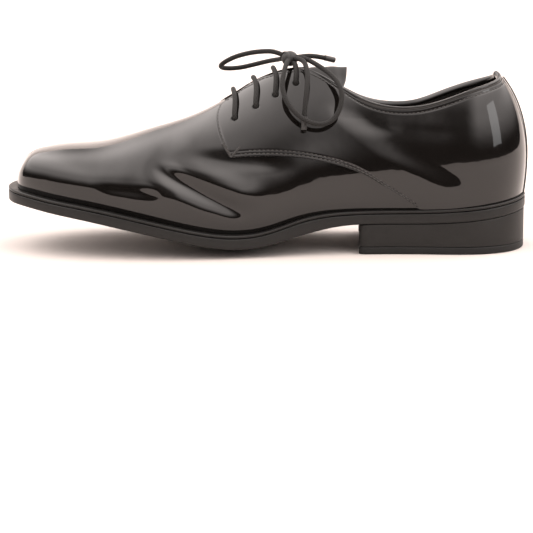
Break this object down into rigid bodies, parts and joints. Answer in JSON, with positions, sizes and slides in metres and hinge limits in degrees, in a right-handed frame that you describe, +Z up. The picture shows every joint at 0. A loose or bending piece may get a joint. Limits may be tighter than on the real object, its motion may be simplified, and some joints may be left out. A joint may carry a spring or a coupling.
{
  "type": "derby dress shoe",
  "caption": "Men's plain-toe derby dress shoe in patent leather with open lacing tied in a bow, rubber sole and low block heel.",
  "frame": {"origin": "on the ground, under the middle of the shoe's length and width", "axes": "+Z up, toe towards -X, heel towards +X, inner (medial) side towards -Y"},
  "size_m": [0.3065, 0.1024, 0.1165],
  "materials": {
    "patent_leather": "gloss",
    "collar_binding": "satin",
    "lining_leather": "matte",
    "padding_foam": "matte",
    "stiffener_board": "matte",
    "sock_leather": "matte",
    "insole_board": "matte",
    "cork": "matte",
    "shank_steel": "satin",
    "nail_steel": "satin",
    "welt_rubber": "satin",
    "sole_rubber": "satin",
    "heel_rubber": "satin",
    "top_piece_rubber": "matte",
    "eyelet_metal": "satin",
    "lace_cotton": "matte",
    "aglet_plastic": "gloss"
  },
  "bodies": {
    "shoe": {"outsole": "sole_rubber", "welt": "welt_rubber", "heel_block": "heel_rubber", "heel_top_piece": "top_piece_rubber", "heel_nails": "nail_steel", "cork_filler": "cork", "shank": "shank_steel", "insole": "insole_board", "sock_liner": "sock_leather", "vamp": "patent_leather", "vamp_lining": "lining_leather", "toe_puff": "stiffener_board", "quarter_lateral": "patent_leather", "quarter_medial": "patent_leather", "quarter_lining_lateral": "lining_leather", "quarter_lining_medial": "lining_leather", "facing_lining_lateral": "lining_leather", "facing_lining_medial": "lining_leather", "blind_eyelets": "eyelet_metal", "heel_counter": "stiffener_board", "backstay": "patent_leather", "topline_binding": "collar_binding", "lace_through_eyelets": "lace_cotton", "lace_knot": "lace_cotton", "lace_loop_front": "lace_cotton", "lace_loop_side": "lace_cotton", "lace_end_back": "lace_cotton", "lace_end_hanging": "lace_cotton", "aglet_end_back": "aglet_plastic", "aglet_end_hanging": "aglet_plastic"},
    "tongue": {"tongue": "patent_leather", "tongue_padding": "padding_foam", "tongue_lining": "lining_leather"}
  },
  "joints": [
    {"name": "tongue_flex", "type": "hinge", "parent": "shoe", "child": "tongue", "pos_m": [-0.032, 0, 0.0675], "axis": [0, 1, 0], "range_deg": [0, 12], "stiffness_Nm_per_rad": 0.3}
  ]
}
